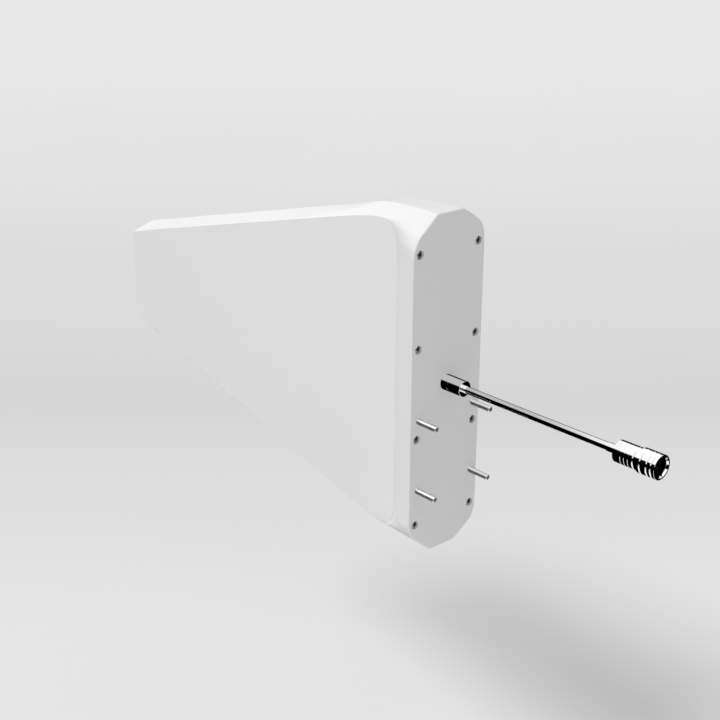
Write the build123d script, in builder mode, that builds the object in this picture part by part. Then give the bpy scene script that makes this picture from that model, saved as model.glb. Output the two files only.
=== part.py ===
from build123d import *
from math import cos, hypot, radians, sin
import os

os.makedirs("parts", exist_ok=True)

# Outdoor log-periodic antenna: a wedge radome on a tall back plate, with a stiff coaxial lead.
# Millimetres. +Y is the direction the antenna looks in, +Z is up, X is the wedge's thickness.
# The origin is the middle of the four mounting studs, on the back plate's outer face.
# Heights of the radome and the plate are counted from the plate's centre, PLATE_CENTRE_Z up,
# and each drop is counted down from the plate's top edge.
PLATE_CENTRE_Z = 45.0

# Back plate: its outline is a tall rectangle with cut corners, rounded where they meet the sides
PLATE_HALF_WIDTH = 33.3
PLATE_HALF_HEIGHT = 122.2
PLATE_TOP_HALF_WIDTH = 11.5
PLATE_SIDE_DROP = 25.6
PLATE_BAND_WIDTH = 5.4
PLATE_BAND_HEIGHT = 11.9
PLATE_THICKNESS = 5.0
PLATE_EDGE_ROUND = 1.2

# Radome: a flare ahead of the plate, then parallel sides under a low gabled roof
WALL = 3.0
BODY_HALF_WIDTH = 20.9
FLARE_LENGTH = 28.0
FLARE_BULGE = 1.0
FLARE_SIDE_DROP = 28.2
FLARE_BAND_WIDTH = 2.4
FLARE_BAND_HEIGHT = 19.6
FLARE_TOP_HALF_WIDTH = 9.7
FLARE_TOP_DROP = 0.4
CORNER_Y = 33.5
CORNER_SIDE_DROP = 12.2
CORNER_TOP_HALF_WIDTH = 9.2
CORNER_TOP_DROP = 0.8
SHOULDER_Y = 45.0
SHOULDER_SIDE_DROP = 9.6
SHOULDER_TOP_HALF_WIDTH = 8.0
SHOULDER_TOP_DROP = 1.8
BEND_Y = 61.0
BEND_SIDE_DROP = 11.6
BEND_TOP_HALF_WIDTH = 5.5
BEND_TOP_DROP = 4.2
RIDGE_START_Y = 85.0
RIDGE_SIDE_DROP = 17.2
RIDGE_HALF_WIDTH = 1.5
RIDGE_RISE = 6.4
NOSE_SIDE_DROP = 84.9
EDGE_BAND_WIDTH = 1.4
EDGE_BAND_HEIGHT = 1.8
BAND_CROWN = 0.11
NOSE_FRONT_Y = 357.5
NOSE_ROUND = 4.0
ROUND_STEPS = 3

# Mounting studs, moulded into the plate
STUD_SIDE_INSET = 7.3
STUD_SPACING_X = 2 * (PLATE_HALF_WIDTH - STUD_SIDE_INSET)
STUD_SPACING_Z = 52.0
STUD_DIAMETER = 4.0
STUD_LENGTH = 18.0
STUD_TIP_CHAMFER = 0.4
STUD_SHANK_DIAMETER = 5.0
STUD_HEAD_DIAMETER = 7.0
STUD_HEAD_THICKNESS = 1.6

# Cover screws, rows of two: the outer rows keep their distance from the plate's ends, the others their pitch
SCREW_SIDE_INSET = 6.3
SCREW_SPACING_X = 2 * (PLATE_HALF_WIDTH - SCREW_SIDE_INSET)
SCREW_PITCH_Z = 65.0
SCREW_END_INSET = 24.7
SCREW_ROWS = 4
SCREW_DIAMETER = 3.0
SCREW_LENGTH = 6.0
SCREW_HEAD_DIAMETER = 5.6
SCREW_HEAD_HEIGHT = 1.8
SCREW_RECESS_DIAMETER = 6.2
SCREW_RECESS_DEPTH = 3.0
SCREW_DRIVE_WIDTH = 2.5
SCREW_DRIVE_DEPTH = 1.0
SCREW_HOLE_CLEARANCE = 0.2
BOSS_DIAMETER = 8.0
BOSS_LENGTH = 8.0

# Perimeter seal, in a groove of the plate's inner face
SEAL_INSET = 0.6
SEAL_WIDTH = 1.1
SEAL_THICKNESS = 1.0

# Booms and dipoles
BOOM_SIZE = 8.0
BOOM_WALL = 1.2
BOOM_GAP = 3.0
BOOM_FRONT_Y = 342.0
AXIS_HEIGHT = 3.0
DIPOLE_COUNT = 11
DIPOLE_FIRST_Y = 40.0
DIPOLE_END_DROP = 22.2
DIPOLE_FIRST_REACH = PLATE_HALF_HEIGHT - DIPOLE_END_DROP
DIPOLE_RATIO = 0.87
APEX_Y = 421.6
ROD_DIAMETER = 4.0
ROD_STUB_DIAMETER = 2.5
ROD_TIP_CHAMFER = 0.4
FIT = 0.05

# Boom bracket, which also joins the two booms electrically at the rear
BRACKET_BASE = 3.0
BRACKET_HALF_WIDTH = 18.0
BRACKET_HALF_HEIGHT = 15.0
BRACKET_BLOCK_MARGIN = 3.0
BRACKET_BLOCK_LENGTH = 14.0
BRACKET_SCREW_INSET = 3.5
BRACKET_SCREW_DIAMETER = 2.9
BRACKET_SCREW_GRIP = 3.5
BRACKET_HEAD_DIAMETER = 5.0
BRACKET_HEAD_HEIGHT = 1.8

# Boom spacers and the front support
SPACER_POSITIONS_Y = (111.0, 187.0, 244.0)
SPACER_THICKNESS = 5.0
SPACER_MARGIN = 2.0
SUPPORT_Y = 304.5
SUPPORT_THICKNESS = 4.0
SUPPORT_HALF_HEIGHT = 14.0

# Coaxial feed line, straight from the connector to the front of the booms
LINE_DIAMETER = 4.3
LINE_WALL = 0.65
CORE_DIAMETER = 0.92

# Feed point at the front of the booms
PLUG_LENGTH = 6.0
INSULATOR_THICKNESS = 3.0
STRAP_THICKNESS = 1.0
STRAP_HALF_HEIGHT = 3.0
CORE_REACH = 0.6
STRAP_SCREW_DIAMETER = 2.5
STRAP_SCREW_GRIP = 5.0
STRAP_HEAD_DIAMETER = 4.5
STRAP_HEAD_HEIGHT = 1.6

# Cable gland on the back plate
GLAND_DIAMETER = 11.2
GLAND_BODY_LENGTH = 6.0
GLAND_NUT_LENGTH = 11.5
GLAND_STEM_DIAMETER = 7.0
GLAND_SLEEVE_DIAMETER = 8.8
GLAND_SLEEVE_LENGTH = 4.0
GLAND_NUT_FACE = 2.0
GLAND_EDGE = 0.5
GLAND_SEAT_DEPTH = 0.5

# Coaxial connector: a front sleeve, a rear nut and a crimped ferrule
SLEEVE_FRONT_Y = -177.4
SLEEVE_LENGTH = 13.5
SLEEVE_DIAMETER = 15.9
SLEEVE_BORE = 12.4
SLEEVE_BORE_DEPTH = 6.5
SLEEVE_WAIST = 10.0
CONNECTOR_EDGE = 0.6
REAR_NUT_LENGTH = 17.5
REAR_NUT_DIAMETER = 14.2
FERRULE_DIAMETER = 5.8
FERRULE_LENGTH = 12.0
FERRULE_INSERTION = 4.0
CONTACT_DIAMETER = 3.0
CONTACT_SETBACK = 0.3
CONTACT_BORE = 1.65
CONTACT_BORE_DEPTH = 4.0
CONTACT_SLIT = 0.4
CONTACT_TAIL = 2.0
CONTACT_STAND = 3.0

BOOM_BORE = BOOM_SIZE - 2 * BOOM_WALL
RETURN_X = BOOM_SIZE + BOOM_GAP
PAIR_X = RETURN_X / 2
PAIR_HALF_WIDTH = PAIR_X + BOOM_SIZE / 2
AXIS_Z = PLATE_CENTRE_Z + AXIS_HEIGHT
BLOCK_Y = PLATE_THICKNESS + BRACKET_BASE
BOOM_REAR_Y = BLOCK_Y + BRACKET_BASE
STRAP_Y = BOOM_FRONT_Y + INSULATOR_THICKNESS
LINE_BORE = LINE_DIAMETER - 2 * LINE_WALL
SLEEVE_REAR_Y = SLEEVE_FRONT_Y + SLEEVE_LENGTH
REAR_NUT_Y = SLEEVE_REAR_Y + REAR_NUT_LENGTH
CONTACT_TIP_Y = SLEEVE_FRONT_Y + SLEEVE_BORE_DEPTH + CONTACT_SETBACK
NOSE_ROUND_Y = NOSE_FRONT_Y - NOSE_ROUND


def across(y, x=0, z=PLATE_CENTRE_Z):
    """Plane across the antenna at y. Its x is X, its y is Z, and its normal points back."""
    return Plane(origin=(x, y, z), x_dir=(1, 0, 0), z_dir=(0, -1, 0))


def corner(width, side_drop, band_width, band_height, top_width, top_drop):
    """Side, band and top points of a section's upper right quarter, as (x, height) pairs."""
    side = PLATE_HALF_HEIGHT - side_drop
    return (width, side), (width - band_width, side + band_height), (top_width, PLATE_HALF_HEIGHT - top_drop)


def edge_corner(side_drop, top_width, top_drop):
    """The same where the sides are parallel and only a narrow band breaks the edge."""
    return corner(BODY_HALF_WIDTH, side_drop, EDGE_BAND_WIDTH, EDGE_BAND_HEIGHT, top_width, top_drop)


def between(first, second, share):
    """Quarter section a share of the way from one quarter section to another."""
    pairs = zip(first, second)
    return tuple(tuple(a + (b - a) * share for a, b in zip(p, q)) for p, q in pairs)


PLATE_QUARTER = corner(PLATE_HALF_WIDTH, PLATE_SIDE_DROP, PLATE_BAND_WIDTH, PLATE_BAND_HEIGHT,
                       PLATE_TOP_HALF_WIDTH, 0)
FLARE_QUARTER = corner(BODY_HALF_WIDTH, FLARE_SIDE_DROP, FLARE_BAND_WIDTH, FLARE_BAND_HEIGHT,
                       FLARE_TOP_HALF_WIDTH, FLARE_TOP_DROP)
(MID_SIDE, MID_BAND, MID_TOP) = between(PLATE_QUARTER, FLARE_QUARTER, 0.5)
STATIONS = [
    (0.0, PLATE_QUARTER),
    (FLARE_LENGTH / 2, ((MID_SIDE[0] + FLARE_BULGE, MID_SIDE[1]),
                        (MID_BAND[0] + FLARE_BULGE, MID_BAND[1]), MID_TOP)),
    (FLARE_LENGTH, FLARE_QUARTER),
    (CORNER_Y, edge_corner(CORNER_SIDE_DROP, CORNER_TOP_HALF_WIDTH, CORNER_TOP_DROP)),
    (SHOULDER_Y, edge_corner(SHOULDER_SIDE_DROP, SHOULDER_TOP_HALF_WIDTH, SHOULDER_TOP_DROP)),
    (BEND_Y, edge_corner(BEND_SIDE_DROP, BEND_TOP_HALF_WIDTH, BEND_TOP_DROP)),
    (RIDGE_START_Y, edge_corner(RIDGE_SIDE_DROP, RIDGE_HALF_WIDTH, RIDGE_SIDE_DROP - RIDGE_RISE)),
    (NOSE_FRONT_Y, edge_corner(NOSE_SIDE_DROP, RIDGE_HALF_WIDTH, NOSE_SIDE_DROP - RIDGE_RISE)),
]


def quarter_at(y):
    """Quarter section at any y, on the straight line between the two nearest stations."""
    for (start, first), (end, second) in zip(STATIONS, STATIONS[1:]):
        if y <= end:
            return between(first, second, (y - start) / (end - start))
    return STATIONS[-1][1]


def outline(y, shrink=0.0):
    """Outer section of the radome or the plate at y, with its corners drawn in by shrink."""
    side, band, top = quarter_at(y)
    side = (side[0] - shrink, side[1] - shrink)
    band = (band[0] - shrink, band[1] - shrink)
    top = (top[0], top[1] - shrink)
    chord = hypot(side[0] - band[0], side[1] - band[1])
    out = BAND_CROWN * chord
    crown = ((side[0] + band[0]) / 2 + out * (band[1] - side[1]) / chord,
             (side[1] + band[1]) / 2 + out * (side[0] - band[0]) / chord)
    with BuildSketch(across(y)) as section:
        with BuildLine():
            Line((side[0], 0), side)
            ThreePointArc(side, crown, band)
            Line(band, top)
            Line(top, (0, top[1]))
            mirror(about=Plane.YZ)
            mirror(about=Plane.XZ)
        make_face()
    return section.sketch


def cavity(y):
    """Inner section of the radome at y, a wall's thickness inside the outer one."""
    side, band, top = quarter_at(y)
    length = hypot(band[0] - top[0], top[1] - band[1])
    normal = ((top[1] - band[1]) / length, (band[0] - top[0]) / length)
    reach = normal[0] * top[0] + normal[1] * top[1] - WALL
    width = side[0] - WALL
    roof = top[1] - WALL
    roof_width = max((reach - normal[1] * roof) / normal[0], RIDGE_HALF_WIDTH / 2)
    roof = min(roof, (reach - normal[0] * roof_width) / normal[1])
    eaves = (reach - normal[0] * width) / normal[1]
    with BuildSketch(across(y)) as section:
        with BuildLine():
            Polyline((width, 0), (width, eaves), (roof_width, roof), (0, roof))
            mirror(about=Plane.YZ)
            mirror(about=Plane.XZ)
        make_face()
    return section.sketch


def rounded_end(edge_y, radius, inward):
    """Sections that round the sides into an end face. inward is 1 or -1 along Y, into the body."""
    angles = [90 * step / ROUND_STEPS for step in range(ROUND_STEPS + 1)]
    places = [(edge_y + inward * radius * (1 - sin(radians(a))), radius * (1 - cos(radians(a))))
              for a in angles]
    return [outline(y, shrink) for y, shrink in places]


def seal_ring(clearance):
    """Ring under the shell's rim: the plate's groove with no clearance, or the seal itself with some."""
    back = (0, -1, 0)
    with BuildPart() as ring:
        extrude(outline(PLATE_THICKNESS, SEAL_INSET + clearance), SEAL_THICKNESS, dir=back)
        extrude(outline(PLATE_THICKNESS, SEAL_INSET + SEAL_WIDTH - clearance), SEAL_THICKNESS, dir=back,
                mode=Mode.SUBTRACT)
    return ring


def finish(built, label):
    """Name a finished piece and write it."""
    built.part.label = label
    export_step(built.part, f"parts/{label}.step")


station_places = [y for y, quarter in STATIONS]
inner_rows = [(row - (SCREW_ROWS - 3) / 2) * SCREW_PITCH_Z for row in range(SCREW_ROWS - 2)]
end_row = PLATE_HALF_HEIGHT - SCREW_END_INSET
screw_grid = Locations(*[(x, z) for x in (-SCREW_SPACING_X / 2, SCREW_SPACING_X / 2)
                         for z in [-end_row] + inner_rows + [end_row]])
stud_plane = across(0, z=0)
stud_grid = GridLocations(STUD_SPACING_X, STUD_SPACING_Z, 2, 2)
bracket_grid = GridLocations(2 * (BRACKET_HALF_WIDTH - BRACKET_SCREW_INSET),
                             2 * (BRACKET_HALF_HEIGHT - BRACKET_SCREW_INSET), 2, 2)

# Radome shell, one hollow moulding with a boss for each cover screw
outer_places = [PLATE_THICKNESS] + [y for y in station_places if PLATE_THICKNESS < y < NOSE_ROUND_Y]
outer_sections = [outline(y) for y in outer_places] + rounded_end(NOSE_FRONT_Y, NOSE_ROUND, -1)
cavity_places = [PLATE_THICKNESS - WALL] + outer_places[1:] + [NOSE_FRONT_Y - WALL - NOSE_ROUND / 2]
with BuildPart() as radome_envelope:
    loft(sections=outer_sections, ruled=True)
with BuildPart() as radome_cavity:
    loft(sections=[cavity(y) for y in cavity_places], ruled=True)
with BuildPart() as screw_bosses:
    with BuildSketch(across(PLATE_THICKNESS)):
        with screw_grid:
            Circle(BOSS_DIAMETER / 2)
    extrude(amount=-BOSS_LENGTH)
    add(radome_envelope.part, mode=Mode.INTERSECT)
with BuildPart() as radome_shell:
    add(radome_envelope.part)
    add(radome_cavity.part, mode=Mode.SUBTRACT)
    add(screw_bosses.part)
    with BuildSketch(across(PLATE_THICKNESS)):
        with screw_grid:
            Circle(SCREW_DIAMETER / 2)
    extrude(amount=-(SCREW_LENGTH - PLATE_THICKNESS + SCREW_RECESS_DEPTH), mode=Mode.SUBTRACT)
finish(radome_shell, "radome_shell")

# Back plate, with screw recesses, stud seats, a seal groove and the gland's hole
with BuildPart() as back_plate:
    loft(sections=[outline(PLATE_THICKNESS)] + rounded_end(0, PLATE_EDGE_ROUND, 1), ruled=True)
    with BuildSketch(across(0)):
        with screw_grid:
            Circle(SCREW_RECESS_DIAMETER / 2)
    extrude(amount=-SCREW_RECESS_DEPTH, mode=Mode.SUBTRACT)
    with BuildSketch(across(0)):
        with screw_grid:
            Circle(SCREW_DIAMETER / 2 + SCREW_HOLE_CLEARANCE)
    extrude(amount=-PLATE_THICKNESS, mode=Mode.SUBTRACT)
    with BuildSketch(stud_plane):
        with stud_grid:
            Circle(STUD_SHANK_DIAMETER / 2)
    extrude(amount=-PLATE_THICKNESS, mode=Mode.SUBTRACT)
    with BuildSketch(across(PLATE_THICKNESS, z=0)):
        with stud_grid:
            Circle(STUD_HEAD_DIAMETER / 2)
    extrude(amount=STUD_HEAD_THICKNESS, mode=Mode.SUBTRACT)
    add(seal_ring(0).part, mode=Mode.SUBTRACT)
    with BuildSketch(across(0, z=AXIS_Z)):
        Circle(GLAND_DIAMETER / 2 + FIT)
    extrude(amount=-GLAND_SEAT_DEPTH, mode=Mode.SUBTRACT)
    with BuildSketch(across(0, z=AXIS_Z)):
        Circle(GLAND_STEM_DIAMETER / 2 + FIT)
    extrude(amount=-PLATE_THICKNESS, mode=Mode.SUBTRACT)
    with BuildSketch(across(PLATE_THICKNESS, PAIR_X, AXIS_Z)):
        with bracket_grid:
            Circle(BRACKET_SCREW_DIAMETER / 2)
    extrude(amount=BRACKET_SCREW_GRIP, mode=Mode.SUBTRACT)
finish(back_plate, "back_plate")

# Perimeter seal, pressed into the plate's groove by the shell's rim
finish(seal_ring(FIT), "perimeter_seal")

# Cover screws, their heads sunk in the plate
with BuildPart() as cover_screws:
    with BuildSketch(across(SCREW_RECESS_DEPTH)):
        with screw_grid:
            Circle(SCREW_HEAD_DIAMETER / 2)
    extrude(amount=SCREW_HEAD_HEIGHT)
    with BuildSketch(across(SCREW_RECESS_DEPTH)):
        with screw_grid:
            Circle(SCREW_DIAMETER / 2)
    extrude(amount=-SCREW_LENGTH)
    with BuildSketch(across(SCREW_RECESS_DEPTH - SCREW_HEAD_HEIGHT)):
        with screw_grid:
            RegularPolygon(SCREW_DRIVE_WIDTH / 2, 6, major_radius=False)
    extrude(amount=-SCREW_DRIVE_DEPTH, mode=Mode.SUBTRACT)
finish(cover_screws, "cover_screws")

# Mounting studs: a flat head flush with the plate's inner face and a shank as long as the plate is thick
with BuildPart() as mounting_studs:
    with BuildSketch(across(PLATE_THICKNESS, z=0)):
        with stud_grid:
            Circle(STUD_HEAD_DIAMETER / 2)
    extrude(amount=STUD_HEAD_THICKNESS)
    with BuildSketch(across(PLATE_THICKNESS, z=0)):
        with stud_grid:
            Circle(STUD_SHANK_DIAMETER / 2)
    extrude(amount=PLATE_THICKNESS)
    with BuildSketch(stud_plane):
        with stud_grid:
            Circle(STUD_DIAMETER / 2)
    extrude(amount=STUD_LENGTH)
    tips = mounting_studs.faces().group_by(Axis.Y)[0]
    chamfer(tips.edges(), length=STUD_TIP_CHAMFER)
finish(mounting_studs, "mounting_studs")

# Boom bracket, a base on the plate with a square socket for each boom
with BuildPart() as boom_bracket:
    with BuildSketch(across(PLATE_THICKNESS, PAIR_X, AXIS_Z)):
        Rectangle(2 * BRACKET_HALF_WIDTH, 2 * BRACKET_HALF_HEIGHT)
    extrude(amount=-BRACKET_BASE)
    with BuildSketch(across(BLOCK_Y, PAIR_X, AXIS_Z)):
        Rectangle(2 * (PAIR_HALF_WIDTH + BRACKET_BLOCK_MARGIN), BOOM_SIZE + 2 * BRACKET_BLOCK_MARGIN)
    extrude(amount=-BRACKET_BLOCK_LENGTH)
    with BuildSketch(across(BOOM_REAR_Y, PAIR_X, AXIS_Z)):
        with GridLocations(RETURN_X, 0, 2, 1):
            Rectangle(BOOM_SIZE + 2 * FIT, BOOM_SIZE + 2 * FIT)
    extrude(amount=-BRACKET_BLOCK_LENGTH, mode=Mode.SUBTRACT)
    with BuildSketch(across(PLATE_THICKNESS, z=AXIS_Z)):
        Circle(GLAND_STEM_DIAMETER / 2 + FIT)
    extrude(amount=-BRACKET_BASE, mode=Mode.SUBTRACT)
    with BuildSketch(across(BLOCK_Y, z=AXIS_Z)):
        Circle(LINE_DIAMETER / 2 + FIT)
    extrude(amount=-BRACKET_BASE, mode=Mode.SUBTRACT)
    with BuildSketch(across(PLATE_THICKNESS, PAIR_X, AXIS_Z)):
        with bracket_grid:
            Circle(BRACKET_SCREW_DIAMETER / 2 + SCREW_HOLE_CLEARANCE)
    extrude(amount=-BRACKET_BASE, mode=Mode.SUBTRACT)
finish(boom_bracket, "boom_bracket")

with BuildPart() as bracket_screws:
    with BuildSketch(across(BLOCK_Y, PAIR_X, AXIS_Z)):
        with bracket_grid:
            Circle(BRACKET_SCREW_DIAMETER / 2 - FIT)
    extrude(amount=BRACKET_BASE + BRACKET_SCREW_GRIP)
    with BuildSketch(across(BLOCK_Y, PAIR_X, AXIS_Z)):
        with bracket_grid:
            Circle(BRACKET_HEAD_DIAMETER / 2)
    extrude(amount=-BRACKET_HEAD_HEIGHT)
finish(bracket_screws, "bracket_screws")


def dipole_place(index):
    """Y and reach of a dipole. Both fall in the same ratio towards the apex."""
    distance = (APEX_Y - DIPOLE_FIRST_Y) * DIPOLE_RATIO**index
    return APEX_Y - distance, DIPOLE_FIRST_REACH * DIPOLE_RATIO**index


def rod_end(index, boom):
    """1 where the dipole's rod stands on top of the boom, -1 where it hangs below."""
    return 1 if (index + boom) % 2 == 0 else -1


# Booms, two square tubes with a tapped hole for each rod
boom_names = ("feed_boom", "return_boom")
for boom, name in enumerate(boom_names):
    with BuildPart() as tube:
        with BuildSketch(across(BOOM_REAR_Y, boom * RETURN_X, AXIS_Z)):
            Rectangle(BOOM_SIZE, BOOM_SIZE)
            Rectangle(BOOM_BORE, BOOM_BORE, mode=Mode.SUBTRACT)
        extrude(amount=BOOM_REAR_Y - BOOM_FRONT_Y)
        for index in range(DIPOLE_COUNT):
            hole_y = dipole_place(index)[0]
            up = rod_end(index, boom)
            wall_plane = Plane(origin=(boom * RETURN_X, hole_y, AXIS_Z), x_dir=(1, 0, 0), z_dir=(0, 0, up))
            with BuildSketch(wall_plane):
                Circle(ROD_STUB_DIAMETER / 2 + FIT)
            extrude(amount=BOOM_SIZE / 2, mode=Mode.SUBTRACT)
    finish(tube, name)

# Dipoles, one rod on each boom, pointing opposite ways and crossing over from one to the next
for index in range(DIPOLE_COUNT):
    rod_y, reach = dipole_place(index)
    with BuildPart() as dipole:
        for boom in range(len(boom_names)):
            up = rod_end(index, boom)
            rod_x = boom * RETURN_X
            bore_plane = Plane(origin=(rod_x, rod_y, AXIS_Z + up * BOOM_BORE / 2), x_dir=(1, 0, 0),
                               z_dir=(0, 0, up))
            with BuildSketch(bore_plane):
                Circle(ROD_STUB_DIAMETER / 2)
            extrude(amount=BOOM_WALL)
            with BuildSketch(bore_plane.offset(BOOM_WALL)):
                Circle(ROD_DIAMETER / 2)
            extrude(amount=reach - BOOM_SIZE / 2)
        tips = dipole.faces().sort_by(Axis.Z)
        chamfer([tips[0].edge(), tips[-1].edge()], length=ROD_TIP_CHAMFER)
    finish(dipole, f"dipole_{index + 1:02d}")


# Boom spacers, three collars that hold the booms a fixed gap apart
with BuildPart() as boom_spacers:
    for spacer_y in SPACER_POSITIONS_Y:
        with BuildSketch(across(spacer_y, PAIR_X, AXIS_Z)):
            Rectangle(2 * (PAIR_HALF_WIDTH + SPACER_MARGIN), BOOM_SIZE + 2 * SPACER_MARGIN)
            with GridLocations(RETURN_X, 0, 2, 1):
                Rectangle(BOOM_SIZE + 2 * FIT, BOOM_SIZE + 2 * FIT, mode=Mode.SUBTRACT)
        extrude(amount=SPACER_THICKNESS)
finish(boom_spacers, "boom_spacers")

# Front support, which centres the booms between the radome's sides
with BuildPart() as front_support:
    with BuildSketch(across(SUPPORT_Y, z=AXIS_Z)):
        Rectangle(2 * (BODY_HALF_WIDTH - WALL - FIT), 2 * SUPPORT_HALF_HEIGHT)
        with Locations((PAIR_X, 0)):
            with GridLocations(RETURN_X, 0, 2, 1):
                Rectangle(BOOM_SIZE + 2 * FIT, BOOM_SIZE + 2 * FIT, mode=Mode.SUBTRACT)
    extrude(amount=SUPPORT_THICKNESS)
finish(front_support, "front_support")

# End plugs in the booms: one grips the feed line, the other takes the strap's screw
with BuildPart() as feed_plug:
    with BuildSketch(across(BOOM_FRONT_Y, z=AXIS_Z)):
        Rectangle(BOOM_BORE - 2 * FIT, BOOM_BORE - 2 * FIT)
        Circle(LINE_DIAMETER / 2 + FIT, mode=Mode.SUBTRACT)
    extrude(amount=PLUG_LENGTH)
finish(feed_plug, "feed_plug")

with BuildPart() as return_plug:
    with BuildSketch(across(BOOM_FRONT_Y, RETURN_X, AXIS_Z)):
        Rectangle(BOOM_BORE - 2 * FIT, BOOM_BORE - 2 * FIT)
        Circle(STRAP_SCREW_DIAMETER / 2 + FIT, mode=Mode.SUBTRACT)
    extrude(amount=PLUG_LENGTH)
finish(return_plug, "return_plug")

# Feed insulator, strap and screw, which carry the line's core across to the return boom
with BuildPart() as feed_insulator:
    with BuildSketch(across(STRAP_Y, PAIR_X, AXIS_Z)):
        Rectangle(2 * PAIR_HALF_WIDTH, BOOM_SIZE)
    extrude(amount=INSULATOR_THICKNESS)
    with BuildSketch(across(STRAP_Y, z=AXIS_Z)):
        Circle(CORE_DIAMETER / 2 + FIT)
        with Locations((RETURN_X, 0)):
            Circle(STRAP_SCREW_DIAMETER / 2 + FIT)
    extrude(amount=INSULATOR_THICKNESS, mode=Mode.SUBTRACT)
finish(feed_insulator, "feed_insulator")

with BuildPart() as feed_strap:
    with BuildSketch(across(STRAP_Y, PAIR_X, AXIS_Z)):
        SlotCenterToCenter(RETURN_X, 2 * STRAP_HALF_HEIGHT)
    extrude(amount=-STRAP_THICKNESS)
    with BuildSketch(across(STRAP_Y, z=AXIS_Z)):
        Circle(CORE_DIAMETER / 2 + FIT)
        with Locations((RETURN_X, 0)):
            Circle(STRAP_SCREW_DIAMETER / 2 + FIT)
    extrude(amount=-STRAP_THICKNESS, mode=Mode.SUBTRACT)
finish(feed_strap, "feed_strap")

with BuildPart() as strap_screw:
    with BuildSketch(across(STRAP_Y + STRAP_THICKNESS, RETURN_X, AXIS_Z)):
        Circle(STRAP_SCREW_DIAMETER / 2)
    extrude(amount=STRAP_THICKNESS + INSULATOR_THICKNESS + STRAP_SCREW_GRIP)
    with BuildSketch(across(STRAP_Y + STRAP_THICKNESS, RETURN_X, AXIS_Z)):
        Circle(STRAP_HEAD_DIAMETER / 2)
    extrude(amount=-STRAP_HEAD_HEIGHT)
finish(strap_screw, "strap_screw")

# Coaxial feed line: outer conductor, dielectric and core
line_plane = across(BOOM_FRONT_Y, z=AXIS_Z)
line_length = BOOM_FRONT_Y - SLEEVE_REAR_Y
with BuildPart() as line_outer:
    with BuildSketch(line_plane):
        Circle(LINE_DIAMETER / 2)
        Circle(LINE_BORE / 2, mode=Mode.SUBTRACT)
    extrude(amount=line_length)
finish(line_outer, "feed_line_outer")

with BuildPart() as line_dielectric:
    with BuildSketch(line_plane):
        Circle(LINE_BORE / 2 - FIT)
        Circle(CORE_DIAMETER / 2 + FIT, mode=Mode.SUBTRACT)
    extrude(amount=line_length)
finish(line_dielectric, "feed_line_dielectric")

with BuildPart() as line_core:
    with BuildSketch(across(STRAP_Y + STRAP_THICKNESS + CORE_REACH, z=AXIS_Z)):
        Circle(CORE_DIAMETER / 2)
    extrude(amount=STRAP_Y + STRAP_THICKNESS + CORE_REACH - SLEEVE_REAR_Y + CONTACT_TAIL)
finish(line_core, "feed_line_core")

# Cable gland: a body screwed into the bracket through the plate, a nut and a rubber sleeve
with BuildPart() as gland_body:
    with BuildSketch(across(GLAND_SEAT_DEPTH, z=AXIS_Z)):
        Circle(GLAND_DIAMETER / 2)
    extrude(amount=GLAND_SEAT_DEPTH + GLAND_BODY_LENGTH)
    chamfer(gland_body.edges().filter_by(GeomType.CIRCLE), length=GLAND_EDGE)
    with BuildSketch(across(BLOCK_Y, z=AXIS_Z)):
        Circle(GLAND_STEM_DIAMETER / 2)
    extrude(amount=BLOCK_Y + GLAND_EDGE)
    with BuildSketch(across(BLOCK_Y, z=AXIS_Z)):
        Circle(LINE_DIAMETER / 2 + FIT)
    extrude(amount=BLOCK_Y + GLAND_BODY_LENGTH, mode=Mode.SUBTRACT)
finish(gland_body, "gland_body")

with BuildPart() as gland_nut:
    with BuildSketch(across(-GLAND_BODY_LENGTH, z=AXIS_Z)):
        Circle(GLAND_DIAMETER / 2)
    extrude(amount=GLAND_NUT_LENGTH)
    chamfer(gland_nut.edges().filter_by(GeomType.CIRCLE), length=GLAND_EDGE)
    with BuildSketch(across(-GLAND_BODY_LENGTH, z=AXIS_Z)):
        Circle(GLAND_SLEEVE_DIAMETER / 2)
    extrude(amount=GLAND_NUT_LENGTH - GLAND_NUT_FACE, mode=Mode.SUBTRACT)
    with BuildSketch(across(-GLAND_BODY_LENGTH, z=AXIS_Z)):
        Circle(LINE_DIAMETER / 2 + FIT)
    extrude(amount=GLAND_NUT_LENGTH, mode=Mode.SUBTRACT)
finish(gland_nut, "gland_nut")

with BuildPart() as gland_sleeve:
    with BuildSketch(across(-GLAND_BODY_LENGTH, z=AXIS_Z)):
        Circle(GLAND_SLEEVE_DIAMETER / 2 - FIT)
        Circle(LINE_DIAMETER / 2 + FIT, mode=Mode.SUBTRACT)
    extrude(amount=GLAND_NUT_LENGTH - GLAND_NUT_FACE)
finish(gland_sleeve, "gland_sleeve")

# Connector: ferrule, rear nut, jack, insulator and centre contact
with BuildPart() as crimp_ferrule:
    with BuildSketch(across(REAR_NUT_Y + FERRULE_LENGTH - FERRULE_INSERTION, z=AXIS_Z)):
        Circle(FERRULE_DIAMETER / 2)
        Circle(LINE_DIAMETER / 2 + FIT, mode=Mode.SUBTRACT)
    extrude(amount=FERRULE_LENGTH)
finish(crimp_ferrule, "crimp_ferrule")

with BuildPart() as rear_nut:
    with BuildSketch(across(REAR_NUT_Y, z=AXIS_Z)):
        Circle(REAR_NUT_DIAMETER / 2)
    extrude(amount=REAR_NUT_LENGTH)
    chamfer(rear_nut.edges().filter_by(GeomType.CIRCLE), length=CONNECTOR_EDGE)
    with BuildSketch(across(REAR_NUT_Y, z=AXIS_Z)):
        Circle(FERRULE_DIAMETER / 2 + FIT)
    extrude(amount=FERRULE_INSERTION, mode=Mode.SUBTRACT)
    with BuildSketch(across(REAR_NUT_Y - FERRULE_INSERTION, z=AXIS_Z)):
        Circle(LINE_DIAMETER / 2 + FIT)
    extrude(amount=REAR_NUT_LENGTH - FERRULE_INSERTION, mode=Mode.SUBTRACT)
finish(rear_nut, "connector_rear_nut")

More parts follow.
